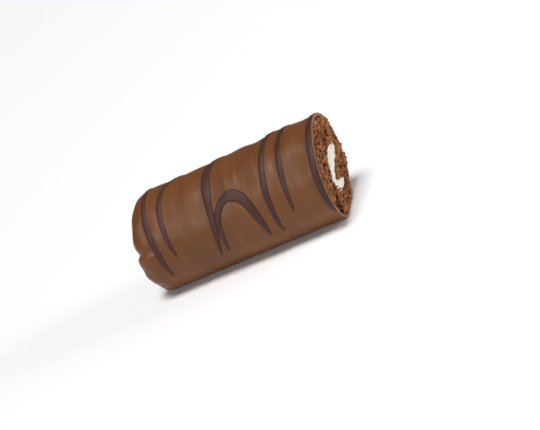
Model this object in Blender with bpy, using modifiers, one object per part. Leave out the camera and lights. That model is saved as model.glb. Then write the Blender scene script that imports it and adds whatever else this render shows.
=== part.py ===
"""A chocolate coated swiss roll with one end cut off, lying on its flat base.

The frame: +X runs along the roll to the cut end, +Z is up, and the origin is under the middle of the roll,
on the surface that it rests on. Sizes are in metres.

Four kinds of piece are modelled, each a closed solid of its own:
  coating      the milk chocolate skin, closed at one end and open at the cut
  sponge       the sheet of chocolate sponge, rolled up, whose outer end meets the base
  cream        the filling that was rolled up with the sheet
  drizzle_...  the lines of dark chocolate that run over the coating

A section of the roll is drawn in the plane of Y and Z, about a centre on the widest line. Sections are then
set along X, scaled by the taper, and leant over by the same shear, because both ends lean alike.
"""

import math

import bmesh
import bpy
from mathutils import Vector

# Driving dimensions of the roll
LENGTH = 0.0674
WIDTH = 0.0337
HEIGHT = 0.0310
WIDEST_AT = 0.0144  # height of the widest line above the base
LOWER_OVAL = 0.0163  # how far the oval would go below the widest line, if the base weren't flat
BASE_EDGE_BLEND = 0.0010  # how softly the flat base turns up into the side
TAPER = 0.976  # size at the closed end, against the size at the cut
LEAN = math.radians(6.3)  # both ends lean towards the cut by this much

# The lower far side is pressed in by this share of the radius, about this angle and over this spread
PRESSED = 0.09
PRESSED_AT = math.radians(-48)
PRESSED_SPREAD = math.radians(24)

# The rounded closed end: how deep the rounding is, and how large its flat middle is
END_DEPTH = 0.0060
END_FACE = 0.60

# The skin, and the gap that keeps touching pieces apart
COATING = 0.0009
GAP = 0.0003

# Resolution
AROUND = 64
END_STEPS = 5
ALONG = 4
PATH_STEPS = 5
TIP_STEPS = 6
LINE_PITCH = 0.0018

# The cream's middle line in the section, from the inner tip to its tail, as (y, z above the base, thickness)
CREAM_PATH = (
    (0.0089, 0.0171, 0.0028),
    (0.0056, 0.0169, 0.0052),
    (0.0018, 0.0163, 0.0060),
    (-0.0018, 0.0147, 0.0048),
    (-0.0040, 0.0121, 0.0034),
    (-0.0036, 0.0095, 0.0036),
    (-0.0008, 0.0081, 0.0035),
    (0.0030, 0.0074, 0.0026),
    (0.0052, 0.0070, 0.0010),
)
# The seam goes on from the tail to the skin, where the outer end of the sheet lies
SEAM_PATH = ((0.0069, 0.0059), (0.0077, 0.0042))
SEAM_ANGLE = math.radians(-57)

# Dark lines. Each point is (wrap angle from the top in degrees, x from the roll's middle, width).
# The wrap angle is positive on the -Y side.
DRIZZLE_HEIGHT = 0.0005
DRIZZLE = (
    (
        (-108, -0.0246, 0.0006),
        (-82, -0.0256, 0.0018),
        (-45, -0.0268, 0.0020),
        (-13, -0.0271, 0.0019),
        (19, -0.0268, 0.0018),
        (45, -0.0265, 0.0019),
        (68, -0.0255, 0.0020),
        (88, -0.0246, 0.0018),
        (103, -0.0239, 0.0012),
        (113, -0.0234, 0.0005),
    ),
    (
        (-104, -0.0140, 0.0006),
        (-76, -0.0138, 0.0018),
        (-48, -0.0144, 0.0020),
        (-24, -0.0160, 0.0019),
        (-8, -0.0186, 0.0018),
        (10, -0.0205, 0.0018),
        (34, -0.0212, 0.0019),
        (56, -0.0207, 0.0018),
        (76, -0.0200, 0.0013),
        (91, -0.0191, 0.0005),
    ),
    (
        (-112, 0.0050, 0.0006),
        (-85, 0.0046, 0.0020),
        (-52, 0.0032, 0.0022),
        (-24, 0.0004, 0.0022),
        (-5, -0.0020, 0.0024),
        (12, -0.0033, 0.0029),
        (32, -0.0037, 0.0030),
        (54, -0.0037, 0.0022),
        (76, -0.0039, 0.0016),
        (96, -0.0048, 0.0014),
        (112, -0.0058, 0.0005),
    ),
    (
        (109, -0.0027, 0.0005),
        (95, -0.0025, 0.0012),
        (80, -0.0021, 0.0013),
        (67, -0.0013, 0.0019),
        (57, 0.0006, 0.0028),
        (53, 0.0036, 0.0035),
        (58, 0.0066, 0.0031),
        (69, 0.0089, 0.0026),
        (84, 0.0104, 0.0023),
        (99, 0.0113, 0.0016),
        (112, 0.0118, 0.0005),
    ),
    (
        (-112, 0.0218, 0.0006),
        (-85, 0.0214, 0.0019),
        (-50, 0.0202, 0.0020),
        (-19, 0.0182, 0.0020),
        (4, 0.0170, 0.0020),
        (30, 0.0162, 0.0020),
        (60, 0.0157, 0.0021),
        (86, 0.0155, 0.0018),
        (103, 0.0156, 0.0013),
        (115, 0.0159, 0.0005),
    ),
    (
        (-103, 0.0266, 0.0006),
        (-76, 0.0260, 0.0018),
        (-42, 0.0242, 0.0019),
        (-10, 0.0225, 0.0018),
        (20, 0.0219, 0.0018),
        (52, 0.0217, 0.0019),
        (78, 0.0218, 0.0015),
        (95, 0.0219, 0.0005),
    ),
    (
        (-110, 0.0306, 0.0006),
        (-82, 0.0314, 0.0018),
        (-45, 0.0320, 0.0019),
        (-10, 0.0322, 0.0019),
        (22, 0.0324, 0.0020),
        (50, 0.0322, 0.0021),
        (76, 0.0321, 0.0021),
        (98, 0.0324, 0.0017),
        (118, 0.0331, 0.0005),
    ),
    (
        (-106, 0.0090, 0.0005),
        (-84, 0.0096, 0.0018),
        (-63, 0.0110, 0.0022),
        (-51, 0.0134, 0.0030),
        (-60, 0.0158, 0.0022),
        (-82, 0.0166, 0.0018),
        (-102, 0.0170, 0.0005),
    ),
)

MILK_CHOCOLATE = (0.20, 0.085, 0.038)
CHOCOLATE_SPONGE = (0.16, 0.060, 0.030)
CREAM = (0.75, 0.68, 0.55)
DARK_CHOCOLATE = (0.080, 0.036, 0.026)


def material(name, colour, roughness):
    made = bpy.data.materials.new(name)
    made.diffuse_color = (*colour, 1)
    made.use_nodes = True
    shader = made.node_tree.nodes["Principled BSDF"]
    shader.inputs["Base Color"].default_value = (*colour, 1)
    shader.inputs["Roughness"].default_value = roughness
    shader.inputs["Metallic"].default_value = 0
    return made


def smooth_path(points, steps):
    """Points along a Catmull-Rom curve through the given ones, with each further value smoothed alike."""
    ends = [points[0], *points, points[-1]]
    path = []
    for a, b, c, d in zip(ends, ends[1:], ends[2:], ends[3:]):
        for step in range(steps):
            t = step / steps
            path.append(
                tuple(
                    b[i]
                    + t / 2 * (c[i] - a[i] + t * (2 * a[i] - 5 * b[i] + 4 * c[i] - d[i]))
                    + t**3 / 2 * (3 * b[i] - a[i] - 3 * c[i] + d[i])
                    for i in range(len(b))
                )
            )
    return [*path, tuple(points[-1])]


def section_radius(angle, inset=0.0):
    """Distance from the section's centre to its edge, for a skin set in by inset. The base is flat."""
    half_width = WIDTH / 2 - inset
    half_height = (HEIGHT - WIDEST_AT if math.sin(angle) >= 0 else LOWER_OVAL) - inset
    oval = 1 / math.hypot(math.cos(angle) / half_width, math.sin(angle) / half_height)
    aside = math.remainder(angle - PRESSED_AT, math.tau) / PRESSED_SPREAD
    oval *= 1 - PRESSED * math.exp(-(aside**2))
    if math.sin(angle) >= 0:
        return oval
    base = (WIDEST_AT - inset) / -math.sin(angle)
    overlap = max(BASE_EDGE_BLEND - abs(oval - base), 0) / BASE_EDGE_BLEND
    return min(oval, base) - overlap**2 * BASE_EDGE_BLEND / 4


def edge_point(angle, inset=0.0):
    """The section's edge at an angle, measured from its centre."""
    radius = section_radius(angle, inset)
    return radius * math.cos(angle), radius * math.sin(angle)


def outline(start, end, count, inset):
    return [edge_point(start + (end - start) * i / (count - 1), inset) for i in range(count)]


def placed(x, y, z, scale=1.0):
    """A point of the roll, x from the closed end and the rest from the section's centre."""
    size = TAPER + (1 - TAPER) * x / LENGTH
    height = (WIDEST_AT + z * scale) * size
    return Vector((x - LENGTH / 2 + height * math.tan(LEAN), y * scale * size, height))


def stations(inset):
    """Each section's place along the roll and its scale, from the rounded closed end to the cut."""
    places = []
    for step in range(END_STEPS + 1):
        turn = math.pi / 2 * step / END_STEPS
        scale = END_FACE + (1 - END_FACE) * math.sin(turn)
        places.append((inset + END_DEPTH * (1 - math.cos(turn)), scale))
    start = places[-1][0]
    for step in range(1, ALONG + 1):
        places.append((start + (LENGTH - start) * step / ALONG, 1.0))
    return places


def lofted(name, rings, closed_far_end=True):
    """A mesh through rings of as many points each, capped at its first ring and, as a rule, at its last."""
    mesh = bmesh.new()
    made = [[mesh.verts.new(point) for point in ring] for ring in rings]
    for near, far in zip(made, made[1:]):
        for i, corner in enumerate(near):
            after = (i + 1) % len(near)
            mesh.faces.new((corner, far[i], far[after], near[after]))
    mesh.faces.new(made[0])
    if closed_far_end:
        mesh.faces.new(reversed(made[-1]))
    bmesh.ops.recalc_face_normals(mesh, faces=mesh.faces)
    data = bpy.data.meshes.new(name)
    mesh.to_mesh(data)
    mesh.free()
    return data


def add_piece(name, mesh, finish):
    mesh.materials.append(finish)
    mesh.shade_smooth()
    mesh.set_sharp_from_angle(angle=math.radians(40))
    piece = bpy.data.objects.new(name, mesh)
    collection.objects.link(piece)
    piece.parent = roll
    return piece


def add_coating(finish):
    """The skin is an open surface with a wall inside it."""
    edge = outline(0, math.tau * (1 - 1 / AROUND), AROUND, 0)
    rings = [[placed(x, y, z, scale) for y, z in edge] for x, scale in stations(0)]
    coating = add_piece("coating", lofted("coating", rings, closed_far_end=False), finish)
    wall = coating.modifiers.new("Wall", "SOLIDIFY")
    wall.thickness = COATING
    wall.offset = -1
    wall.use_even_offset = True


def band_edges(path):
    """Both edges of a band along a path of (y, z, thickness)."""
    left, right = [], []
    for i, (y, z, thickness) in enumerate(path):
        before, after = path[max(i - 1, 0)], path[min(i + 1, len(path) - 1)]
        along = Vector((after[0] - before[0], after[1] - before[1])).normalized()
        side = Vector((-along.y, along.x)) * thickness / 2
        left.append((y + side.x, z + side.y))
        right.append((y - side.x, z - side.y))
    return left, right


def round_tip(path):
    """Points round the path's first end, from its right edge to its left edge, ends left out."""
    (y, z, thickness), (y_after, z_after, _) = path[0], path[1]
    back = math.atan2(z - z_after, y - y_after)
    turns = [math.pi * (0.5 - step / TIP_STEPS) for step in range(1, TIP_STEPS)]
    return [
        (y + thickness / 2 * math.cos(back + turn), z + thickness / 2 * math.sin(back + turn))
        for turn in turns
    ]


def cream_points(clearance):
    """The cream's middle line from the section's centre, with room left round it."""
    return [(y, z - WIDEST_AT, thickness + 2 * clearance) for y, z, thickness in CREAM_PATH]


def add_sponge(finish):
    """The sheet's section: once round its edge, in along the seam, round the cream and out again."""
    inset = COATING + GAP
    seam = [(y, z - WIDEST_AT, GAP) for y, z in SEAM_PATH]
    mouth = (*edge_point(SEAM_ANGLE, inset), GAP)
    hollow = smooth_path([*cream_points(GAP), *seam, mouth], PATH_STEPS)
    left, right = band_edges(hollow)
    lip = GAP / section_radius(SEAM_ANGLE, inset)
    edge = outline(SEAM_ANGLE + lip, SEAM_ANGLE + math.tau - lip, AROUND, inset)
    section = [*edge, *reversed(right[:-1]), *round_tip(hollow), *left[:-1]]
    rings = [[placed(x, y, z, scale) for y, z in section] for x, scale in stations(inset)]
    add_piece("sponge", lofted("sponge", rings), finish)


def add_cream(finish):
    path = smooth_path(cream_points(0), PATH_STEPS)
    left, right = band_edges(path)
    section = [*reversed(right), *round_tip(path), *left]
    rings = [
        [placed(x, y, z, scale) for y, z in section] for x, scale in stations(COATING + GAP)
    ]
    add_piece("cream", lofted("cream", rings), finish)


def skin_point(wrap, x, lift):
    """A point over the coating, from the wrap angle in degrees and x from the roll's middle."""
    angle = math.radians(90 + wrap)
    y, z = edge_point(angle)
    return placed(x + LENGTH / 2, y + lift * math.cos(angle), z + lift * math.sin(angle))


def add_drizzle(name, line, finish):
    """A low rounded ribbon that follows the coating along one line."""
    path = smooth_path(line, 2 * PATH_STEPS)
    kept = [path[0]]
    for point in path[1:-1]:
        here = skin_point(point[0], point[1], 0)
        if (here - skin_point(kept[-1][0], kept[-1][1], 0)).length > LINE_PITCH:
            kept.append(point)
    kept.append(path[-1])
    places = [skin_point(wrap, x, 0) for wrap, x, _ in kept]
    rings = []
    for i, (wrap, x, width) in enumerate(kept):
        along = (places[min(i + 1, len(kept) - 1)] - places[max(i - 1, 0)]).normalized()
        out = (skin_point(wrap, x, GAP) - places[i]).normalized()
        side = along.cross(out).normalized() * width / 2
        height = min(DRIZZLE_HEIGHT, width * 0.4)
        profile = ((-1, 0), (-0.75, 0.6), (0, 1), (0.75, 0.6), (1, 0))
        foot = places[i] + out * GAP
        rings.append([foot + side * across + out * height * up for across, up in profile])
    add_piece(name, lofted(name, rings), finish)


def stand_on_origin(pieces):
    """Moves the roll so that its box is centred over the origin. Its base is at z = 0 already."""
    corners = [vertex.co for piece in pieces for vertex in piece.data.vertices]
    for axis in (0, 1):
        values = [corner[axis] for corner in corners]
        roll.location[axis] = -(min(values) + max(values)) / 2


for old in list(bpy.data.objects):
    bpy.data.objects.remove(old, do_unlink=True)

collection = bpy.data.collections.new("Swiss roll")
bpy.context.scene.collection.children.link(collection)
roll = bpy.data.objects.new("roll", None)
collection.objects.link(roll)

add_coating(material("Milk chocolate", MILK_CHOCOLATE, 0.42))
add_sponge(material("Chocolate sponge", CHOCOLATE_SPONGE, 0.90))
add_cream(material("Cream filling", CREAM, 0.60))
dark_chocolate = material("Dark chocolate", DARK_CHOCOLATE, 0.38)
for number, line in enumerate(DRIZZLE, start=1):
    add_drizzle(f"drizzle_{number}", line, dark_chocolate)
stand_on_origin([piece for piece in collection.objects if piece.type == "MESH"])
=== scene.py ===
"""The looks of a chocolate coated swiss roll with one end cut off.

The roll's CAD solids are the frame: the coating, the sponge, the cream and the lines of dark chocolate. Each
is replaced by a detailed piece of the same place and size, and loose crumbs are added on the cut.

Places on the roll are given as (wrap, x): wrap is the angle round the roll from its top, positive on the -Y
side, and x is the distance from the closed end, before the lean of both ends is added. Lengths are in
metres.
"""

import math

import bmesh
import bpy
import numpy as np
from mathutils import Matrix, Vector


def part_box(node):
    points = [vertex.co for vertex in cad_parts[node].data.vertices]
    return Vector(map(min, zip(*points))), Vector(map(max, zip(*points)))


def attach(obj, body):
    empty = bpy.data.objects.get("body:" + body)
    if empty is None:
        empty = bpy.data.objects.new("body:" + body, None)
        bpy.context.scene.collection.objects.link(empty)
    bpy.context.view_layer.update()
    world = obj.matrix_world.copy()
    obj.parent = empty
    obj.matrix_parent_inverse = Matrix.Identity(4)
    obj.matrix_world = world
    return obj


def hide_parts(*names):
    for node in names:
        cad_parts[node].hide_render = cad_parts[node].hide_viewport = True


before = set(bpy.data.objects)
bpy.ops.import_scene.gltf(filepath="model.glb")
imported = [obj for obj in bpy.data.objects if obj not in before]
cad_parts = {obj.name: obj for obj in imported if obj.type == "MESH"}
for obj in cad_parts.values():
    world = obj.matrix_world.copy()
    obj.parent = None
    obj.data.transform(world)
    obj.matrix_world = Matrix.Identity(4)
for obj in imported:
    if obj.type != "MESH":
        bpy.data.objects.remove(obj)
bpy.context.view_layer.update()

import openvdb
from bpy.props import FloatProperty, FloatVectorProperty, IntProperty, PointerProperty
from mathutils import Matrix, Vector

SKIN_LOW, SKIN_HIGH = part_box("coating")

bl_info = {
    "name": "Chocolate swiss roll",
    "version": (1, 0, 0),
    "blender": (4, 5, 0),
    "location": "3D View > Sidebar > Swiss roll",
    "description": "Builds a coated swiss roll with a cut end, drizzle lines, crumb and cream",
    "category": "Add Mesh",
}

# The section and the ends, as the solids have them
WIDEST_AT = 0.0144
LOWER_OVAL = 0.0163
BASE_EDGE_BLEND = 0.0010
PRESSED = 0.09
PRESSED_AT = math.radians(-48)
PRESSED_SPREAD = math.radians(24)
TAPER = 0.976
LEAN = math.tan(math.radians(6.3))
END_DEPTH = 0.0060
END_FACE = 0.60
WIDTH = SKIN_HIGH[1] - SKIN_LOW[1]
HEIGHT = SKIN_HIGH[2] - SKIN_LOW[2]
FACE_FOOT = WIDEST_AT * (1 - END_FACE) * TAPER * LEAN
LENGTH = SKIN_HIGH[0] - SKIN_LOW[0] - HEIGHT * LEAN + FACE_FOOT
CLOSED_END = SKIN_LOW[0] - FACE_FOOT
MIDDLE = LENGTH / 2

# Creases pressed across the near side of the coating: x, share of the full depth
CREASES = ((MIDDLE + 0.0061, 1.0), (MIDDLE + 0.0028, 0.7))
CREASE_DEPTH = 0.00012
CREASE_WIDTH = 0.0004

# The rolled sheet and the fold that show on the closed end
SHEET_PITCH = 0.0062
SHEET_DEPTH = 0.00016
FOLD_WRAP = 73
FOLD_RIDGE = 0.00042
FOLD_HOLLOW = 0.00050

# The cream's middle line in the section, from its inner tip to its tail: y, height above the base, thickness
CREAM_PATH = (
    (0.0086, 0.0172, 0.0036),
    (0.0056, 0.0169, 0.0050),
    (0.0018, 0.0163, 0.0060),
    (-0.0018, 0.0147, 0.0048),
    (-0.0040, 0.0121, 0.0034),
    (-0.0036, 0.0095, 0.0036),
    (-0.0008, 0.0081, 0.0035),
    (0.0030, 0.0074, 0.0026),
    (0.0052, 0.0070, 0.0010),
)
SEAM_PATH = (
    (0.0052, 0.0070, 0.0004),
    (0.0069, 0.0059, 0.0004),
    (0.0077, 0.0042, 0.0004),
    (0.0082, 0.0020, 0.0004),
)

# Depths behind the cut: where the pores end, where the plain solids begin, and where the detail ends
SOLID_DEPTH = 0.0024
BACK_DEPTH = 0.0030
CUT_DEPTH = 0.0034

# The crumb and the cream at the cut. The pitch is the spacing of the points that their surface is found from
CRUMB_PITCH = 0.00024
CREAM_PITCH = 0.00017
CRUMB_OVERHANG = 0.0006
CREAM_OVERLAP = 0.00018
LARGE_PORES = 1500
SMALL_PORES = 4500
CREAM_BUBBLES = 260
LOOSE_CRUMBS = 110

# The dark lines. One wider than the full width stands no higher, and the root is sunk in the coating
LINE_PITCH = 0.00035
LINE_COLUMNS = 17
LINE_FULLNESS = 1.1
LINE_FULL_WIDTH = 0.0026
LINE_ROOT = 0.0002

# The stage. The camera's way is its azimuth from the near side and its elevation, in degrees
CAMERA_LENS = 96.4
CAMERA_WAY = (23.06, 19.86)
CAMERA_ROLL = math.radians(-31.43)
CAMERA_DISTANCE = 0.45
FLOOR_REACH = 30.0

# Each dark line as (wrap in degrees, x from the roll's middle, width)
DRIZZLE = {
    "drizzle_1": (
        (-108, -0.0245, 0.0006),
        (-82, -0.0255, 0.0016),
        (-45, -0.0266, 0.0017),
        (-13, -0.0267, 0.0015),
        (19, -0.0264, 0.0015),
        (45, -0.0261, 0.0018),
        (68, -0.0252, 0.0019),
        (88, -0.0244, 0.0017),
        (103, -0.0238, 0.0011),
        (113, -0.0234, 0.0005),
    ),
    "drizzle_2": (
        (-104, -0.0140, 0.0006),
        (-76, -0.0138, 0.0016),
        (-48, -0.0144, 0.0017),
        (-24, -0.0160, 0.0015),
        (-8, -0.0184, 0.0014),
        (10, -0.0202, 0.0015),
        (34, -0.0208, 0.0017),
        (56, -0.0204, 0.0016),
        (76, -0.0198, 0.0012),
        (91, -0.0191, 0.0005),
    ),
    "drizzle_3": (
        (-112, 0.0050, 0.0006),
        (-85, 0.0046, 0.0018),
        (-52, 0.0032, 0.0020),
        (-24, 0.0004, 0.0022),
        (-5, -0.0020, 0.0025),
        (12, -0.0033, 0.0029),
        (32, -0.0037, 0.0029),
        (54, -0.00365, 0.0023),
        (76, -0.0038, 0.0020),
        (96, -0.0048, 0.0012),
        (112, -0.0058, 0.0005),
    ),
    "drizzle_4": (
        (109, -0.0027, 0.0005),
        (95, -0.0025, 0.0011),
        (80, -0.0022, 0.0015),
        (67, -0.0014, 0.0021),
        (57, 0.0006, 0.0026),
        (53, 0.0036, 0.0033),
        (58, 0.0066, 0.0029),
        (69, 0.0089, 0.0024),
        (84, 0.0104, 0.0021),
        (99, 0.0113, 0.0014),
        (112, 0.0118, 0.0005),
    ),
    "drizzle_5": (
        (-112, 0.0218, 0.0006),
        (-85, 0.0212, 0.0017),
        (-50, 0.0200, 0.0017),
        (-19, 0.0181, 0.0016),
        (4, 0.0170, 0.0017),
        (30, 0.0162, 0.0018),
        (60, 0.0157, 0.0019),
        (86, 0.0155, 0.0016),
        (103, 0.0156, 0.0011),
        (115, 0.0159, 0.0005),
    ),
    "drizzle_6": (
        (-103, 0.0266, 0.0006),
        (-76, 0.0260, 0.0016),
        (-42, 0.0242, 0.0016),
        (-10, 0.0225, 0.0015),
        (20, 0.0219, 0.0016),
        (52, 0.0217, 0.0017),
        (78, 0.0218, 0.0013),
        (95, 0.0219, 0.0005),
    ),
    "drizzle_7": (
        (-110, 0.0308, 0.0006),
        (-82, 0.0316, 0.0016),
        (-45, 0.0323, 0.0016),
        (-10, 0.0325, 0.0017),
        (22, 0.0325, 0.0019),
        (50, 0.0325, 0.0020),
        (76, 0.0325, 0.0020),
        (98, 0.0327, 0.0016),
        (116, 0.0332, 0.0005),
    ),
    "drizzle_8": (
        (-106, 0.0090, 0.0005),
        (-84, 0.0096, 0.0016),
        (-63, 0.0110, 0.0021),
        (-51, 0.0134, 0.0028),
        (-60, 0.0158, 0.0021),
        (-82, 0.0166, 0.0016),
        (-102, 0.0170, 0.0005),
    ),
}


# ---------------------------------------------------------------- settings


def length_setting(name, default, description):
    return FloatProperty(
        name=name,
        default=default,
        min=0.0,
        precision=5,
        subtype="DISTANCE",
        unit="LENGTH",
        description=description,
    )


def colour_setting(name, default, description):
    return FloatVectorProperty(
        name=name,
        default=default,
        size=3,
        min=0.0,
        max=1.0,
        subtype="COLOR",
        description=description,
    )


class RollSizes(bpy.types.PropertyGroup):
    """Sizes of the details that a baker would change."""

    skin: length_setting("Coating", 0.0009, "Thickness of the milk chocolate at the cut")
    foot: length_setting("Foot", 0.00035, "How far the coating spreads where it set on the tray")
    lumps: length_setting("Lumps", 0.00021, "Depth of the broad unevenness of the coating")
    rings: length_setting("Rings", 0.00011, "Depth of the soft rings round the coating")
    wrinkles: length_setting("Wrinkles", 0.000022, "Depth of the fine wrinkles round the coating")
    drizzle_rise: FloatProperty(
        name="Drizzle rise",
        default=0.26,
        min=0.05,
        max=0.5,
        subtype="FACTOR",
        description="Height of a dark line against its width",
    )
    large_pore: length_setting("Large pores", 0.00050, "Radius of the large pores of the crumb")
    small_pore: length_setting("Small pores", 0.00028, "Radius of the small pores of the crumb")
    ragged: length_setting("Ragged cut", 0.00032, "Height of the torn lumps on the cut crumb")
    seed: IntProperty(name="Seed", default=7, min=0, description="Seed of everything random")


class RollColours(bpy.types.PropertyGroup):
    """Colours of each finish, as linear values."""

    milk: colour_setting("Milk chocolate", (0.185, 0.065, 0.017), "Milk chocolate in full light")
    milk_deep: colour_setting("Milk, deep", (0.150, 0.051, 0.013), "Darker patches of the coating")
    milk_cut: colour_setting("Milk, broken edge", (0.31, 0.15, 0.080), "The coating where it is cut")
    dark: colour_setting("Dark chocolate", (0.075, 0.026, 0.018), "The drizzle lines")
    dark_deep: colour_setting("Dark, deep", (0.058, 0.019, 0.013), "Darker patches of the lines")
    crumb: colour_setting("Crumb", (0.215, 0.079, 0.026), "Crumb on the cut face")
    crumb_light: colour_setting("Crumb, light", (0.40, 0.163, 0.057), "Dry walls between the pores")
    # Painted shade: the dark colour the crumb takes deep in its pores and creases, where shadow falls
    pore_shade_colour: colour_setting("Crumb, pore shade", (0.085, 0.024, 0.008), "Painted shade in the pores")
    cream: colour_setting("Cream", (0.78, 0.74, 0.66), "The filling")
    cream_stain: colour_setting("Cream, stained", (0.62, 0.50, 0.38), "Cream beside the crumb")
    floor: colour_setting("Floor", (0.95, 0.95, 0.95), "The floor")


def sizes():
    return bpy.context.scene.roll_sizes


def colours():
    return bpy.context.scene.roll_colours


# ---------------------------------------------------------------- shared maths


def soft_step(low, high, value):
    """0 below low and 1 above high, with a smooth rise between. It falls where low is the larger."""
    share = np.clip((value - low) / (high - low), 0, 1)
    return share * share * (3 - 2 * share)


def bell(value, centre, spread):
    return np.exp(-(((value - centre) / spread) ** 2))


def waves(points, wavelength, seed, count=20):
    """Smooth noise of about -1 to 1 at rows of points: a sum of waves in random directions."""
    rng = np.random.default_rng([sizes().seed, seed])
    ways = rng.normal(size=(count, points.shape[-1]))
    ways /= np.linalg.norm(ways, axis=1, keepdims=True)
    ways *= math.tau / wavelength * rng.uniform(0.6, 1.4, (count, 1))
    starts = rng.uniform(0, math.tau, count)
    total = np.zeros(points.shape[:-1])
    for way, start in zip(ways, starts):
        total += np.sin(points @ way + start)
    return total / math.sqrt(count)


def smooth_path(points, steps):
    """Rows along a Catmull-Rom curve through the given rows."""
    rows = np.array(points, float)
    rows = np.vstack([rows[:1], rows, rows[-1:]])
    share = np.linspace(0, 1, steps, endpoint=False)[:, None]
    spans = []
    for a, b, c, d in zip(rows, rows[1:], rows[2:], rows[3:]):
        bend = 2 * a - 5 * b + 4 * c - d
        twist = 3 * b - a - 3 * c + d
        spans.append(b + share / 2 * (c - a + share * (bend + share * twist)))
    return np.vstack([*spans, rows[-1:]])


def section_radius(angle, inset=0.0):
    """Distance from the section's centre to its edge. The base is flat."""
    half_width = WIDTH / 2 - inset
    half_height = np.where(np.sin(angle) >= 0, HEIGHT - WIDEST_AT, LOWER_OVAL) - inset
    oval = 1 / np.hypot(np.cos(angle) / half_width, np.sin(angle) / half_height)
    aside = (angle - PRESSED_AT + math.pi) % math.tau - math.pi
    oval *= 1 - PRESSED * np.exp(-((aside / PRESSED_SPREAD) ** 2))
    down = np.maximum(-np.sin(angle), 1e-6)
    base = (WIDEST_AT - inset) / down
    overlap = np.maximum(BASE_EDGE_BLEND - np.abs(oval - base), 0) / BASE_EDGE_BLEND
    return np.minimum(oval, base) - overlap**2 * BASE_EDGE_BLEND / 4


def leaned(x, y, height):
    """Section coordinates, with x from the closed end, as points of the frame."""
    return np.stack([CLOSED_END + x + height * LEAN, y, height], axis=-1)


def taper(x):
    return TAPER + (1 - TAPER) * x / LENGTH


def station(x):
    """The place of x on the profile: 0 to 1 in the rounding of the closed end, 1 to 2 on the straight."""
    rounding = np.arccos(np.clip(1 - x / END_DEPTH, 0, 1)) / (math.pi / 2)
    return np.where(x < END_DEPTH, rounding, 1 + (x - END_DEPTH) / (LENGTH - END_DEPTH))


def profile(place):
    """x and the section's scale at a place on the profile. From -1 to 0 it is the flat of the closed end."""
    turn = np.clip(place, 0, 1) * math.pi / 2
    x = END_DEPTH * (1 - np.cos(turn)) + np.maximum(place - 1, 0) * (LENGTH - END_DEPTH)
    scale = END_FACE * np.minimum(1 + place, 1) + (1 - END_FACE) * np.sin(turn)
    return x, scale


def plain_skin(wrap, place, inset=0.0):
    """Points on the coating without its unevenness."""
    x, scale = profile(place)
    angle = wrap + math.pi / 2
    radius = section_radius(angle, inset) * scale
    height = (WIDEST_AT + radius * np.sin(angle)) * taper(x)
    return leaned(x, radius * np.cos(angle) * taper(x), height)


def skin_ways(wrap, place):
    """Unit ways out of the coating, and how far a step of wrap and of x moves a point."""
    step = 1e-3
    round_way = (plain_skin(wrap + step, place) - plain_skin(wrap - step, place)) / (2 * step)
    along_way = (plain_skin(wrap, place + step) - plain_skin(wrap, place - step)) / (2 * step)
    out = np.cross(along_way, round_way)
    out /= np.maximum(np.linalg.norm(out, axis=-1, keepdims=True), 1e-12)
    return out, round_way, along_way


def unevenness(points, wrap, place):
    """How far the coating stands out from its plain shape."""
    size = sizes()
    x, _ = profile(place)
    height = points[..., 2]
    round_roll = points * (1.0, 0.22, 0.22)
    lumps = size.lumps * waves(points, 0.015, 1)
    rings = size.rings * waves(round_roll, 0.0062, 2)
    wrinkles = size.wrinkles * waves(points * (1.0, 0.15, 0.15), 0.0019, 3)
    at_end = 1 - soft_step(0.0025, 0.010, x)
    end_lumps = 1.1 * size.lumps * waves(points, 0.0070, 4) * at_end
    total = lumps + rings + wrinkles + end_lumps + closed_end_relief(points, wrap, x, at_end)
    degrees = np.degrees(wrap)
    creased = soft_step(6, 18, degrees) * soft_step(48, 34, degrees)
    creases = sum(share * bell(x, place_x, CREASE_WIDTH) for place_x, share in CREASES)
    total -= CREASE_DEPTH * creases * creased
    total *= soft_step(0.0002, 0.0030, height)
    return total


def closed_end_relief(points, wrap, x, at_end):
    """The rolled sheet shows through the coating of the closed end, and a fold runs in from its edge."""
    across = points[..., 1]
    up = points[..., 2] - WIDEST_AT
    from_centre = np.hypot(across, up)
    turning = np.arctan2(up, across)
    spiral = np.sin(math.tau * from_centre / SHEET_PITCH + turning)
    on_face = 1 - soft_step(0.0003, 0.0028, x)
    sheet = SHEET_DEPTH * spiral * on_face * soft_step(0.0005, 0.0040, from_centre)
    degrees = np.degrees(wrap)
    reach = 1 - soft_step(0.004, 0.0105, x)
    ridge = FOLD_RIDGE * bell(degrees, FOLD_WRAP, 5)
    beside = soft_step(FOLD_WRAP + 2, FOLD_WRAP + 7, degrees)
    hollow = -FOLD_HOLLOW * beside * (1 - soft_step(FOLD_WRAP + 11, FOLD_WRAP + 27, degrees))
    fold = (ridge + hollow) * reach * soft_step(0.0045, 0.0095, from_centre)
    return sheet * at_end + fold


def skin(wrap, place, lift=0.0):
    """Points on the finished coating, lifted off it by so much."""
    points = plain_skin(wrap, place)
    out, _, _ = skin_ways(wrap, place)
    raised = points + out * (unevenness(points, wrap, place) + lift)[..., None]
    return with_foot(raised, points, out)


def with_foot(raised, plain, out):
    """Spreads the coating where its side meets the base, and keeps it on the floor."""
    spread = 1 + 0.45 * waves(plain * (1.0, 0.3, 0.3), 0.005, 5)
    foot = sizes().foot * bell(plain[..., 2], 0.0006, 0.0006) * spread
    foot *= soft_step(0.05, 0.45, np.linalg.norm(out[..., :2], axis=-1))
    away = out[..., :2] / np.maximum(np.linalg.norm(out[..., :2], axis=-1, keepdims=True), 1e-9)
    raised[..., :2] += away * foot[..., None]
    raised[..., 2] = np.maximum(raised[..., 2], 0)
    return raised


# ---------------------------------------------------------------- meshes


def mesh_from(name, points, faces):
    data = bpy.data.meshes.new(name)
    data.from_pydata(points.tolist(), [], faces)
    data.validate()
    data.update()
    data.shade_smooth()
    return data


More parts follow.
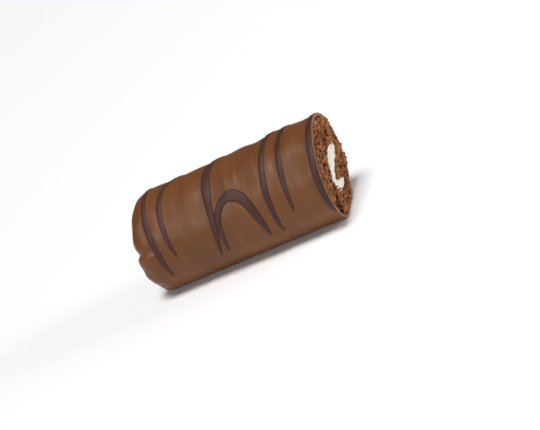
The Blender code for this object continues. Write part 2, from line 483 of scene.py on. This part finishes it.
def ring_faces(ring_count, around, first=0):
    """Quads between rings of as many points each, kept one after the other."""
    ring = np.arange(ring_count - 1)[:, None] * around + first
    corner = np.arange(around)[None, :]
    after = (corner + 1) % around
    quads = np.stack([ring + corner, ring + after, ring + around + after, ring + around + corner], -1)
    return quads.reshape(-1, 4).tolist()


def fan_faces(ring_start, around, tip, turned):
    """Triangles from a ring to one point."""
    fan = []
    for corner in range(around):
        here = ring_start + corner
        after = ring_start + (corner + 1) % around
        fan.append((here, tip, after) if turned else (after, tip, here))
    return fan


def closed_rings(rings, first_tip, last_tip):
    """Points and faces of a body through rings, closed at each end by a fan."""
    count, around, _ = rings.shape
    points = np.vstack([rings.reshape(-1, 3), first_tip, last_tip])
    faces = ring_faces(count, around)
    faces += fan_faces(0, around, count * around, turned=False)
    faces += fan_faces((count - 1) * around, around, count * around + 1, turned=True)
    return points, faces


def largest_shell(points, faces):
    """The connected shell with the most points, with the loose bits and sealed hollows left out."""
    label = np.arange(len(points))
    starts = faces.reshape(-1)
    ends = np.roll(faces, 1, axis=1).reshape(-1)
    while True:
        lower = np.minimum(label[starts], label[ends])
        before = label.copy()
        np.minimum.at(label, starts, lower)
        np.minimum.at(label, ends, lower)
        label = label[label]
        if (label == before).all():
            break
    main = np.bincount(label).argmax()
    kept = label == main
    renumber = np.cumsum(kept) - 1
    return points[kept], renumber[faces[kept[faces[:, 0]]]]


def surface_of(field, low, pitch):
    """The surface where a field of signed distances, negative inside, is zero."""
    grid = openvdb.FloatGrid(1.0)
    grid.copyFromArray(field.astype(np.float32))
    points, triangles, quads = grid.convertToPolygons(isovalue=0.0, adaptivity=0.0)
    quads = quads.astype(np.int64)
    points, quads = largest_shell(points.astype(float), quads)
    return low + points * pitch, quads


def plain_back(node):
    """The CAD solid of a node without its last stretch before the cut."""
    body = bmesh.new()
    body.from_mesh(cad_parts[node].data)
    bmesh.ops.remove_doubles(body, verts=body.verts, dist=1e-6)
    cut_at = Vector((CLOSED_END + LENGTH - BACK_DEPTH, 0, 0))
    sliced = bmesh.ops.bisect_plane(
        body,
        geom=[*body.verts, *body.edges, *body.faces],
        plane_co=cut_at,
        plane_no=Vector((1, 0, -LEAN)).normalized(),
        clear_outer=True,
    )
    edges = [item for item in sliced["geom_cut"] if isinstance(item, bmesh.types.BMEdge)]
    bmesh.ops.edgeloop_fill(body, edges=edges)
    bmesh.ops.triangulate(body, faces=[face for face in body.faces if len(face.verts) > 4])
    body.verts.index_update()
    points = np.array([vertex.co[:] for vertex in body.verts])
    faces = [[vertex.index for vertex in face.verts] for face in body.faces]
    body.free()
    return points, faces


def joined(*bodies):
    """Several bodies of (points, faces) as one."""
    points, faces, start = [], [], 0
    for body_points, body_faces in bodies:
        points.append(body_points)
        faces += [[corner + start for corner in face] for face in body_faces]
        start += len(body_points)
    return np.vstack(points), faces


def add_attribute(data, name, values):
    made = data.attributes.new(name, "FLOAT", "POINT")
    made.data.foreach_set("value", np.asarray(values, np.float32))


def add_piece(name, data, finishes, node=None):
    """Links a piece, gives it its finishes and ties it to the frame."""
    piece = bpy.data.objects.new(name, data)
    for finish in finishes:
        data.materials.append(finish)
    bpy.context.scene.collection.objects.link(piece)
    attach(piece, "root")
    if node:
        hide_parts(node)


# ---------------------------------------------------------------- finishes


def node_group(name, inputs, outputs):
    """An empty shader node group with named sockets, and its input and output nodes."""
    group = bpy.data.node_groups.new(name, "ShaderNodeTree")
    for socket, kind, default in inputs:
        made = group.interface.new_socket(socket, in_out="INPUT", socket_type=kind)
        made.default_value = default
    for socket, kind in outputs:
        group.interface.new_socket(socket, in_out="OUTPUT", socket_type=kind)
    return group, group.nodes.new("NodeGroupInput"), group.nodes.new("NodeGroupOutput")


def add_node(tree, kind, **settings):
    node = tree.nodes.new(kind)
    for name, value in settings.items():
        setattr(node, name, value)
    return node


def mottle_group():
    """Two soft scales of patches, which shift the colour, the gloss and the height together."""
    existing = bpy.data.node_groups.get("Soft mottle")
    if existing:
        return existing
    group, given, out = node_group(
        "Soft mottle",
        [
            ("Light", "NodeSocketColor", (0.5, 0.5, 0.5, 1)),
            ("Deep", "NodeSocketColor", (0.3, 0.3, 0.3, 1)),
            ("Patch Size", "NodeSocketFloat", 100.0),
            ("Fine Size", "NodeSocketFloat", 900.0),
            ("Stretch", "NodeSocketVector", (1, 1, 1)),
            ("Gloss Low", "NodeSocketFloat", 0.4),
            ("Gloss High", "NodeSocketFloat", 0.5),
        ],
        [
            ("Color", "NodeSocketColor"),
            ("Roughness", "NodeSocketFloat"),
            ("Height", "NodeSocketFloat"),
        ],
    )
    link = group.links.new
    place = add_node(group, "ShaderNodeTexCoord")
    stretch = add_node(group, "ShaderNodeVectorMath", operation="MULTIPLY")
    link(place.outputs["Object"], stretch.inputs[0])
    link(given.outputs["Stretch"], stretch.inputs[1])
    patches = add_node(group, "ShaderNodeTexNoise")
    patches.inputs["Detail"].default_value = 3
    patches.inputs["Roughness"].default_value = 0.55
    link(stretch.outputs[0], patches.inputs["Vector"])
    link(given.outputs["Patch Size"], patches.inputs["Scale"])
    fine = add_node(group, "ShaderNodeTexNoise")
    fine.inputs["Detail"].default_value = 2
    link(stretch.outputs[0], fine.inputs["Vector"])
    link(given.outputs["Fine Size"], fine.inputs["Scale"])
    spread = add_node(group, "ShaderNodeMapRange", interpolation_type="SMOOTHSTEP")
    spread.inputs["From Min"].default_value = 0.30
    spread.inputs["From Max"].default_value = 0.70
    link(patches.outputs["Fac"], spread.inputs["Value"])
    colour = add_node(group, "ShaderNodeMix", data_type="RGBA")
    link(spread.outputs["Result"], colour.inputs["Factor"])
    link(given.outputs["Deep"], colour.inputs["A"])
    link(given.outputs["Light"], colour.inputs["B"])
    gloss = add_node(group, "ShaderNodeMapRange")
    gloss.inputs["From Min"].default_value = 0.3
    gloss.inputs["From Max"].default_value = 0.7
    link(fine.outputs["Fac"], gloss.inputs["Value"])
    link(given.outputs["Gloss Low"], gloss.inputs["To Min"])
    link(given.outputs["Gloss High"], gloss.inputs["To Max"])
    link(colour.outputs["Result"], out.inputs["Color"])
    link(gloss.outputs["Result"], out.inputs["Roughness"])
    link(fine.outputs["Fac"], out.inputs["Height"])
    return group


def new_finish(name):
    finish = bpy.data.materials.new(name)
    finish.use_nodes = True
    return finish, finish.node_tree, finish.node_tree.nodes["Principled BSDF"]


def add_mottle(tree, light, deep, patch, fine, stretch, gloss):
    """The shared mottle with its own values. Sizes are those of one patch, in metres."""
    mottle = add_node(tree, "ShaderNodeGroup")
    mottle.node_tree = mottle_group()
    mottle.inputs["Light"].default_value = (*light, 1)
    mottle.inputs["Deep"].default_value = (*deep, 1)
    mottle.inputs["Patch Size"].default_value = 1 / patch
    mottle.inputs["Fine Size"].default_value = 1 / fine
    mottle.inputs["Stretch"].default_value = stretch
    mottle.inputs["Gloss Low"].default_value = gloss[0]
    mottle.inputs["Gloss High"].default_value = gloss[1]
    return mottle


def add_bump(tree, height, shader, distance):
    bump = add_node(tree, "ShaderNodeBump")
    bump.inputs["Strength"].default_value = 1.0
    bump.inputs["Distance"].default_value = distance
    tree.links.new(height, bump.inputs["Height"])
    tree.links.new(bump.outputs["Normal"], shader.inputs["Normal"])


def chocolate(name, light, deep, gloss, stretch):
    """Set chocolate: a satin surface with soft patches, drawn out round the roll."""
    finish, tree, shader = new_finish(name)
    mottle = add_mottle(tree, light, deep, 0.009, 0.0016, stretch, gloss)
    tree.links.new(mottle.outputs["Color"], shader.inputs["Base Color"])
    tree.links.new(mottle.outputs["Roughness"], shader.inputs["Roughness"])
    add_bump(tree, mottle.outputs["Height"], shader, 0.00002)
    shader.inputs["IOR"].default_value = 1.45
    shader.inputs["Specular IOR Level"].default_value = 0.35
    shader.inputs["Subsurface Weight"].default_value = 0.06
    shader.inputs["Subsurface Radius"].default_value = (1.0, 0.5, 0.3)
    shader.inputs["Subsurface Scale"].default_value = 0.001
    return finish


def milk_chocolate():
    colour = colours()
    return chocolate("Milk chocolate", colour.milk, colour.milk_deep, (0.34, 0.56), (1.0, 0.35, 0.35))


def broken_chocolate():
    """The dull, lighter edge where a knife went through the coating."""
    finish, tree, shader = new_finish("Broken chocolate")
    colour = colours()
    mottle = add_mottle(
        tree, colour.milk_cut, colour.milk, 0.0014, 0.0005, (1.0, 1.0, 1.0), (0.60, 0.75)
    )
    tree.links.new(mottle.outputs["Color"], shader.inputs["Base Color"])
    tree.links.new(mottle.outputs["Roughness"], shader.inputs["Roughness"])
    add_bump(tree, mottle.outputs["Height"], shader, 0.00010)
    return finish


def dark_chocolate():
    colour = colours()
    return chocolate("Dark chocolate", colour.dark, colour.dark_deep, (0.50, 0.62), (0.6, 1.0, 1.0))


def blend_stain_and_shade(tree, attribute, colour):
    """Blends another colour over the base colour by an attribute of the mesh: a real stain on the cream, and
    painted shade in the pores of the crumb.
    """
    shader = tree.nodes["Principled BSDF"]
    below = shader.inputs["Base Color"].links[0].from_socket
    amount = add_node(tree, "ShaderNodeAttribute", attribute_name=attribute)
    shade = add_node(tree, "ShaderNodeMix", data_type="RGBA")
    shade.inputs["B"].default_value = (*colour, 1)
    tree.links.new(amount.outputs["Fac"], shade.inputs["Factor"])
    tree.links.new(below, shade.inputs["A"])
    tree.links.new(shade.outputs["Result"], shader.inputs["Base Color"])


def crumb_finish():
    """Porous sponge: light dry walls and a warm middle, with dark pores whose darkness is painted shade. The
    mesh holds how deep each point lies behind the cut, which sets the painted shade.
    """
    finish, tree, shader = new_finish("Chocolate sponge")
    colour = colours()
    link = tree.links.new
    mottle = add_mottle(
        tree, colour.crumb_light, colour.crumb, 0.0017, 0.00045, (1.0, 1.0, 1.0), (0.75, 0.90)
    )
    link(mottle.outputs["Color"], shader.inputs["Base Color"])
    # Painted shade: darkens the crumb where it lies deep behind the cut, in the pores and creases
    blend_stain_and_shade(tree, "pore_shade_amount", colour.pore_shade_colour)
    link(mottle.outputs["Roughness"], shader.inputs["Roughness"])
    add_bump(tree, mottle.outputs["Height"], shader, 0.00012)
    shader.inputs["Specular IOR Level"].default_value = 0.2
    shader.inputs["Subsurface Weight"].default_value = 0.10
    shader.inputs["Subsurface Radius"].default_value = (1.0, 0.4, 0.2)
    shader.inputs["Subsurface Scale"].default_value = 0.001
    return finish


def cream_finish():
    """Soft white filling, a little stained beside the crumb."""
    finish, tree, shader = new_finish("Cream filling")
    colour = colours()
    link = tree.links.new
    pale = tuple(0.94 * value for value in colour.cream)
    mottle = add_mottle(
        tree, colour.cream, pale, 0.0030, 0.0008, (1.0, 1.0, 1.0), (0.38, 0.55)
    )
    link(mottle.outputs["Color"], shader.inputs["Base Color"])
    blend_stain_and_shade(tree, "stain", colour.cream_stain)
    link(mottle.outputs["Roughness"], shader.inputs["Roughness"])
    add_bump(tree, mottle.outputs["Height"], shader, 0.00006)
    shader.inputs["Subsurface Weight"].default_value = 0.20
    shader.inputs["Subsurface Radius"].default_value = (1.0, 0.8, 0.6)
    shader.inputs["Subsurface Scale"].default_value = 0.002
    return finish


# ---------------------------------------------------------------- the coating


def make_coating():
    around = 300
    flat_rings, round_rings, straight_rings = 22, 26, 150
    wrap = np.linspace(-math.pi, math.pi, around, endpoint=False)
    places = np.concatenate(
        [
            np.linspace(-1, 0, flat_rings + 1)[1:],
            np.linspace(0, 1, round_rings + 1)[1:],
            np.linspace(1, 2, straight_rings + 1)[1:],
        ]
    )
    wraps, grid = np.meshgrid(wrap, places)
    outer = skin(wraps, grid)
    rim, chips = cut_rim(wrap, outer[-1])
    outer[-1, :, 0] += chips
    inner = coating_inside(wrap)
    rings = np.concatenate([outer, rim, inner])
    first_tip = outer[0].mean(axis=0)
    last_tip = first_tip + (sizes().skin, 0, 0)
    points, faces = closed_rings(rings, first_tip, last_tip)
    data = mesh_from("coating", points, faces)
    add_piece(
        "milk_coating", data, [milk_chocolate(), broken_chocolate()], "coating"
    )
    paint_rim(data, (len(places) - 1) * around, (len(places) + len(rim)) * around)


def cut_rim(wrap, edge):
    """Rings over the thickness of the coating at the cut, and how far its outer edge is chipped."""
    ring = np.stack([np.cos(wrap), np.sin(wrap)], -1) * WIDTH / 2
    chips = -0.00012 * np.abs(waves(ring, 0.0022, 11))
    rings = []
    for share in (0.30, 0.70, 1.0):
        inset = sizes().skin * share
        plain = plain_skin(wrap, np.full_like(wrap, 2.0), inset)
        outer = plain_skin(wrap, np.full_like(wrap, 2.0))
        rough = waves(ring * (1 + share), 0.0012, 12) * 0.00007
        moved = edge + plain - outer
        moved[:, 0] += rough - 0.00025 * max(share - 0.7, 0)
        moved[:, 2] = np.maximum(moved[:, 2], inset)
        rings.append(moved)
    return np.array(rings), chips


def coating_inside(wrap):
    """Rings down the inside of the coating, from the cut to the closed end."""
    inset = sizes().skin
    rings = []
    for place in (1.985, 1.9, 1.5, 1.0, 0.75, 0.5, 0.25, 0.0, -0.5):
        ring = plain_skin(wrap, np.full_like(wrap, place), inset)
        ring[:, 0] += inset * soft_step(1.5, 1.0, place)
        rings.append(ring)
    return np.array(rings)


def paint_rim(data, first, last):
    """The second finish goes on the faces whose points all lie between the two, as they were numbered."""
    for face in data.polygons:
        if all(first <= corner < last for corner in face.vertices):
            face.material_index = 1


# ---------------------------------------------------------------- the dark lines


def even_rows(path, pitch):
    """The path's rows at even distances over the coating."""
    wrap, x = np.radians(path[:, 0]), path[:, 1] + MIDDLE
    points = plain_skin(wrap, station(x))
    run = np.concatenate([[0], np.cumsum(np.linalg.norm(np.diff(points, axis=0), axis=1))])
    steps = np.linspace(0, run[-1], max(int(run[-1] / pitch), 8))
    return np.stack([np.interp(steps, run, column) for column in path.T], -1), steps


def make_line(name, line, finish, seed):
    """A low rounded ribbon of dark chocolate, fused with the coating below it."""
    rows, run = even_rows(smooth_path(line, 24), LINE_PITCH)
    wrap = np.radians(rows[:, 0])
    place = station(rows[:, 1] + MIDDLE)
    width = rows[:, 2] * LINE_FULLNESS
    points = skin(wrap, place)
    along = np.gradient(points, axis=0)
    along /= np.linalg.norm(along, axis=1, keepdims=True)
    out, round_way, along_way = skin_ways(wrap, place)
    side = np.cross(along, out)
    side /= np.linalg.norm(side, axis=1, keepdims=True)
    wrap_share = (side * round_way).sum(1) / (round_way**2).sum(1)
    place_share = (side * along_way).sum(1) / (along_way**2).sum(1)
    rise = sizes().drizzle_rise * np.minimum(width, LINE_FULL_WIDTH)
    rise *= 1 + 0.15 * waves(run[:, None], 0.009, seed)
    tail = np.minimum(run, run[-1] - run)
    rise *= np.sqrt(np.clip(tail / 0.0012, 0.02, 1))
    half = width / 2 * np.sqrt(np.clip(tail / 0.0006, 0.01, 1))
    edges = [1 + 0.03 * waves(run[:, None], 0.008, seed + 20 * way) for way in (1, 2)]
    dip = 0.55 * soft_step(0.0020, 0.0029, width)
    columns = []
    for across in np.linspace(-1, 1, LINE_COLUMNS):
        reach = across * half * (edges[0] if across < 0 else edges[1])
        height = rise * (1 - abs(across) ** 2.6) ** 0.9 - 0.00004 * abs(across) ** 6
        height *= 1 - dip * bell(across, 0, 0.42)
        columns.append(skin(wrap + reach * wrap_share, place + reach * place_share, height))
    root = np.full_like(rise, -LINE_ROOT)
    for across in (0.7, 0.0, -0.7):
        reach = across * half
        columns.append(skin(wrap + reach * wrap_share, place + reach * place_share, root))
    rings = np.stack(columns, axis=1)
    body, faces = closed_rings(rings, rings[0].mean(0), rings[-1].mean(0))
    add_piece(f"dark_{name}", mesh_from(name, body, faces), [finish], name)


# ---------------------------------------------------------------- the crumb and the cream


class CutBlock:
    """A block of evenly spaced points over the cut. Its first axis is the distance past the cut."""

    def __init__(self, pitch, ahead):
        self.pitch = pitch
        self.low = np.array([-CUT_DEPTH, -WIDTH / 2, 0.0003])
        high = np.array([ahead, WIDTH / 2, HEIGHT])
        self.shape = np.ceil((high - self.low) / pitch).astype(int)
        axes = [self.low[i] + pitch * np.arange(self.shape[i]) for i in range(3)]
        self.past, self.across, self.height = np.meshgrid(*axes, indexing="ij")
        self.points = np.stack([self.past, self.across, self.height], -1)

    def past_back(self):
        """Signed distance from the back of the block, positive behind it."""
        return -CUT_DEPTH + self.pitch * 1.5 - self.past

    def window(self, centre, reach):
        """The part of the block within reach of a point, as slices, or None where it is empty."""
        first = np.floor((centre - reach - self.low) / self.pitch).astype(int)
        last = np.ceil((centre + reach - self.low) / self.pitch).astype(int) + 1
        first = np.clip(first, 0, self.shape)
        last = np.clip(last, 0, self.shape)
        if (last <= first).any():
            return None
        return tuple(slice(a, b) for a, b in zip(first, last))


def band_distance(across, height, path):
    """Signed distance from a band of varying thickness, negative inside."""
    nearest = np.full(across.shape, np.inf)
    for y, z, thickness in smooth_path(path, 12):
        nearest = np.minimum(nearest, np.hypot(across - y, height - z) - thickness / 2)
    return nearest


def filling_distance(block):
    """Signed distance from the cream, whose edge wanders in and out of the crumb."""
    wander = waves(block.points, 0.0034, 31) * 0.00010 + waves(block.points, 0.0014, 32) * 0.00005
    flat = band_distance(block.across[0], block.height[0], CREAM_PATH)
    return flat[None] + wander


def torn_surface(block):
    """How far the torn crumb stands past the cut, over the section: rounded lumps with creases between."""
    flat = block.points[0][..., 1:]
    lumps = np.abs(waves(flat, 0.0030, 33)) * 1.3 + np.abs(waves(flat, 0.0015, 34)) * 0.8
    far_side = soft_step(0.004, 0.012, flat[..., 0]) * soft_step(0.004, 0.010, flat[..., 1])
    return sizes().ragged * (lumps - 1.2 + 0.7 * waves(flat, 0.0090, 35) + 1.2 * far_side)


def carve_pores(field, block, count, radius, seed):
    """Cuts a number of uneven round pores out of a field."""
    rng = np.random.default_rng([sizes().seed, seed])
    span = block.points[-1, -1, -1] - block.low
    dents = waves(block.points, 0.0009, seed + 1) * 0.22
    for _ in range(count):
        centre = block.low + rng.uniform(0, 1, 3) * span
        size = radius * rng.lognormal(0, 0.28)
        stretch = rng.uniform(0.75, 1.35, 3)
        window = block.window(centre, size * 1.9)
        if window is None:
            continue
        away = (block.points[window] - centre) / stretch
        hole = size * (1 + dents[window]) - np.sqrt((away**2).sum(-1))
        field[window] = np.maximum(field[window], hole)


def section_edge(block, inset):
    """Signed distance from the section's edge, negative inside."""
    up = block.height[0] - WIDEST_AT
    across = block.across[0]
    return np.hypot(across, up) - section_radius(np.arctan2(up, across), inset)


def placed_block(points):
    """Points of a block over the cut as points of the frame."""
    return leaned(LENGTH + points[:, 0], points[:, 1], points[:, 2])


def make_sponge():
    size = sizes()
    block = CutBlock(CRUMB_PITCH, 0.0012)
    top = torn_surface(block)
    edge = section_edge(block, size.skin * 0.92)
    seam = band_distance(block.across[0], block.height[0], SEAM_PATH)
    uneven = soft_step(0.1, 1.2, waves(block.points, 0.0024, 36))
    overhang = CRUMB_OVERHANG * soft_step(0.0, 0.0003, block.past) * uneven
    field = np.maximum(block.past - top[None], edge[None] - overhang)
    field = np.maximum(field, block.past_back())
    groove = -(seam[None] + np.maximum(-block.past - 0.0012, 0) * 0.4 - 0.00012)
    field = np.maximum(field, groove)
    field += waves(block.points, 0.00055, 41) * 0.00003
    wall = field.copy()
    carve_pores(field, block, LARGE_PORES, size.large_pore, 42)
    carve_pores(field, block, SMALL_PORES, size.small_pore, 44)
    in_cream = -filling_distance(block) - CREAM_OVERLAP
    backing = np.maximum(np.maximum(wall, block.past_back()), block.past + SOLID_DEPTH)
    field = np.maximum(np.minimum(field, backing), in_cream)
    points, faces = surface_of(field, block.low, block.pitch)
    # Painted shade: the further a point lies behind the cut, the more it takes the dark pore colour
    pore_shading = soft_step(0.00025, -0.00055, points[:, 0])
    back_points, back_faces = plain_back("sponge")
    everything, all_faces = joined((placed_block(points), faces.tolist()), (back_points, back_faces))
    data = mesh_from("sponge", everything, all_faces)
    # The plain solid behind the cut gets the full painted shade
    add_attribute(data, "pore_shade_amount", np.concatenate([pore_shading, np.ones(len(back_points))]))
    add_piece("crumb", data, [crumb_finish()], "sponge")


def make_cream():
    block = CutBlock(CREAM_PITCH, 0.0011)
    filling = filling_distance(block)
    flat = block.points[0][..., 1:]
    swell = 0.00035 * soft_step(0, -0.0022, filling[-1]) - 0.00022
    top = swell + 0.00014 * waves(flat, 0.0030, 51) + 0.00004 * waves(flat, 0.0010, 52)
    field = np.maximum(filling, block.past - top[None])
    field = np.maximum(field, block.past_back())
    carve_pores(field, block, CREAM_BUBBLES, 0.00016, 53)
    points, faces = surface_of(field, block.low, block.pitch)
    edge = band_distance(points[:, 1], points[:, 2], CREAM_PATH)
    stain = soft_step(-0.0007, 0.0002, edge) * 0.55
    back_points, back_faces = plain_back("cream")
    everything, all_faces = joined((placed_block(points), faces.tolist()), (back_points, back_faces))
    data = mesh_from("cream", everything, all_faces)
    add_attribute(data, "stain", np.concatenate([stain, np.zeros(len(back_points))]))
    add_piece("cream_filling", data, [cream_finish()], "cream")


# ---------------------------------------------------------------- loose crumbs


def crumb_lump(centre, radius, rng):
    """One uneven crumb."""
    ball = bmesh.new()
    bmesh.ops.create_icosphere(ball, subdivisions=2, radius=1.0)
    points = np.array([vertex.co[:] for vertex in ball.verts])
    faces = [[vertex.index for vertex in face.verts] for face in ball.faces]
    ball.free()
    turned = points + rng.uniform(-9, 9, 3)
    rough = 1 + 0.22 * waves(turned, 1.3, 61)
    shape = points * rough[:, None] * rng.uniform(0.7, 1.2, 3) * radius
    return shape + centre, faces


def make_crumbs():
    """Crumbs that cling to the cut, with two in the cream's bend."""
    rng = np.random.default_rng([sizes().seed, 71])
    lumps = []
    for _ in range(LOOSE_CRUMBS):
        wrap = rng.uniform(-math.pi, math.pi)
        share = rng.uniform(0.45, 0.97)
        angle = wrap + math.pi / 2
        radius = section_radius(np.array(angle), sizes().skin) * share
        across, height = radius * math.cos(angle), WIDEST_AT + radius * math.sin(angle)
        if height < 0.0012:
            continue
        past = rng.uniform(-0.0001, 0.0003)
        centre = leaned(np.array(LENGTH + past), np.array(across), np.array(height))
        lumps.append(crumb_lump(centre, rng.uniform(0.00018, 0.00042), rng))
    for across, height, radius in ((-0.0019, 0.0113, 0.0005), (-0.0006, 0.0121, 0.0004)):
        centre = leaned(np.array(LENGTH), np.array(across), np.array(height))
        lumps.append(crumb_lump(centre, radius, rng))
    points, faces = joined(*lumps)
    data = mesh_from("crumbs", points, faces)
    # The loose crumbs get no painted pore shade
    add_attribute(data, "pore_shade_amount", np.zeros(len(points)))
    add_piece("loose_crumbs", data, [bpy.data.materials["Chocolate sponge"]])


# ---------------------------------------------------------------- the stage


def make_floor():
    finish, tree, shader = new_finish("Floor")
    shader.inputs["Base Color"].default_value = (*colours().floor, 1)
    shader.inputs["Roughness"].default_value = 0.8
    shader.inputs["Emission Color"].default_value = (1, 1, 1, 1)
    shader.inputs["Emission Strength"].default_value = 0.08
    corners = FLOOR_REACH * np.array([(-1, -1, 0), (1, -1, 0), (1, 1, 0), (-1, 1, 0)])
    data = mesh_from("floor", corners, [(0, 1, 2, 3)])
    data.materials.append(finish)
    floor = bpy.data.objects.new("floor", data)
    bpy.context.scene.collection.objects.link(floor)


def aim(thing, place, target, roll=0.0):
    """Puts a lamp or camera at a place, looking at a target and turned about its own axis."""
    back = (place - target).normalized()
    turn = back.to_track_quat("Z", "Y").to_matrix().to_4x4()
    thing.matrix_world = Matrix.Translation(place) @ turn @ Matrix.Rotation(roll, 4, "Z")


def add_lamp(name, kind, azimuth, elevation, energy, distance=1.0, size=0.5):
    """A white lamp in the given direction from the roll, in degrees."""
    data = bpy.data.lights.new(name, kind)
    data.energy = energy
    if kind == "SUN":
        data.angle = math.radians(size)
    else:
        data.shape = "DISK"
        data.size = size
    lamp = bpy.data.objects.new(name, data)
    bpy.context.scene.collection.objects.link(lamp)
    target = Vector((0, 0, HEIGHT / 2))
    aim(lamp, target + direction(azimuth, elevation) * distance, target)
    return lamp


def direction(azimuth, elevation):
    """The way towards something at an azimuth from the front and an elevation, in degrees."""
    turn, rise = math.radians(azimuth), math.radians(elevation)
    return Vector(
        (math.sin(turn) * math.cos(rise), -math.cos(turn) * math.cos(rise), math.sin(rise))
    )


def light_stage():
    world = bpy.context.scene.world or bpy.data.worlds.new("World")
    bpy.context.scene.world = world
    world.use_nodes = True
    background = world.node_tree.nodes["Background"]
    background.inputs["Color"].default_value = (1, 1, 1, 1)
    background.inputs["Strength"].default_value = 0.12
    add_lamp("Key", "SUN", 10, 72, 2.6, size=25)
    add_lamp("Fill", "AREA", 98, 15, 2.6, distance=0.8, size=0.3)
    sheen = add_lamp("Sheen", "AREA", -30, 30, 2.4, distance=0.8, size=0.5)
    sheen.visible_diffuse = False


def place_camera():
    """The camera looks from the near side and the cut, and is rolled so that the roll lies at a slant."""
    data = bpy.data.cameras.new("Camera")
    data.lens = CAMERA_LENS
    data.sensor_width = 36.0
    data.clip_start = 0.01
    camera = bpy.data.objects.new("Camera", data)
    bpy.context.scene.collection.objects.link(camera)
    back = direction(*CAMERA_WAY)
    target = Vector((-0.0005, 0, 0.015))
    place = target + back * CAMERA_DISTANCE
    right = Vector((0, 0, 1)).cross(back).normalized()
    upright = back.cross(right)
    level = right * math.cos(CAMERA_ROLL) + upright * math.sin(CAMERA_ROLL)
    up = upright * math.cos(CAMERA_ROLL) - right * math.sin(CAMERA_ROLL)
    aim_at = target + level * 0.0101 - up * 0.0030
    aim(camera, place, aim_at, CAMERA_ROLL)
    bpy.context.scene.camera = camera


# ---------------------------------------------------------------- operators


class ROLL_OT_coating(bpy.types.Operator):
    """Make the milk chocolate coating with its closed end, foot and cut edge"""

    bl_idname = "swissroll.coating"
    bl_label = "Coating"

    def execute(self, context):
        make_coating()
        return {"FINISHED"}


class ROLL_OT_drizzle(bpy.types.Operator):
    """Run the dark chocolate lines over the coating"""

    bl_idname = "swissroll.drizzle"
    bl_label = "Drizzle"

    def execute(self, context):
        finish = dark_chocolate()
        for number, (name, line) in enumerate(DRIZZLE.items()):
            make_line(name, line, finish, 80 + number)
        return {"FINISHED"}


class ROLL_OT_sponge(bpy.types.Operator):
    """Make the sponge, with open crumb at the cut"""

    bl_idname = "swissroll.sponge"
    bl_label = "Sponge"

    def execute(self, context):
        make_sponge()
        return {"FINISHED"}


class ROLL_OT_cream(bpy.types.Operator):
    """Make the curl of cream"""

    bl_idname = "swissroll.cream"
    bl_label = "Cream"

    def execute(self, context):
        make_cream()
        return {"FINISHED"}


class ROLL_OT_crumbs(bpy.types.Operator):
    """Scatter loose crumbs on the cut"""

    bl_idname = "swissroll.crumbs"
    bl_label = "Loose crumbs"

    def execute(self, context):
        make_crumbs()
        return {"FINISHED"}


class ROLL_OT_stage(bpy.types.Operator):
    """Set the floor, the lamps and the camera"""

    bl_idname = "swissroll.stage"
    bl_label = "Stage"

    def execute(self, context):
        make_floor()
        light_stage()
        place_camera()
        context.scene.view_settings.view_transform = "Standard"
        return {"FINISHED"}


STEPS = (
    ROLL_OT_coating,
    ROLL_OT_drizzle,
    ROLL_OT_sponge,
    ROLL_OT_cream,
    ROLL_OT_crumbs,
    ROLL_OT_stage,
)


class ROLL_PT_panel(bpy.types.Panel):
    bl_idname = "ROLL_PT_panel"
    bl_label = "Swiss roll"
    bl_space_type = "VIEW_3D"
    bl_region_type = "UI"
    bl_category = "Swiss roll"

    def draw(self, context):
        for step in STEPS:
            self.layout.operator(step.bl_idname)
        for group in (context.scene.roll_sizes, context.scene.roll_colours):
            box = self.layout.box()
            for name in group.bl_rna.properties.keys():
                if name not in ("rna_type", "name"):
                    box.prop(group, name)


CLASSES = (RollSizes, RollColours, *STEPS, ROLL_PT_panel)


def register():
    for cls in CLASSES:
        bpy.utils.register_class(cls)
    bpy.types.Scene.roll_sizes = PointerProperty(type=RollSizes)
    bpy.types.Scene.roll_colours = PointerProperty(type=RollColours)


def unregister():
    del bpy.types.Scene.roll_colours
    del bpy.types.Scene.roll_sizes
    for cls in reversed(CLASSES):
        bpy.utils.unregister_class(cls)


def main():
    register()
    bpy.ops.swissroll.coating()
    bpy.ops.swissroll.drizzle()
    bpy.ops.swissroll.sponge()
    bpy.ops.swissroll.cream()
    bpy.ops.swissroll.crumbs()
    bpy.ops.swissroll.stage()
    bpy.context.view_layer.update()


if __name__ == "__main__":
    main()
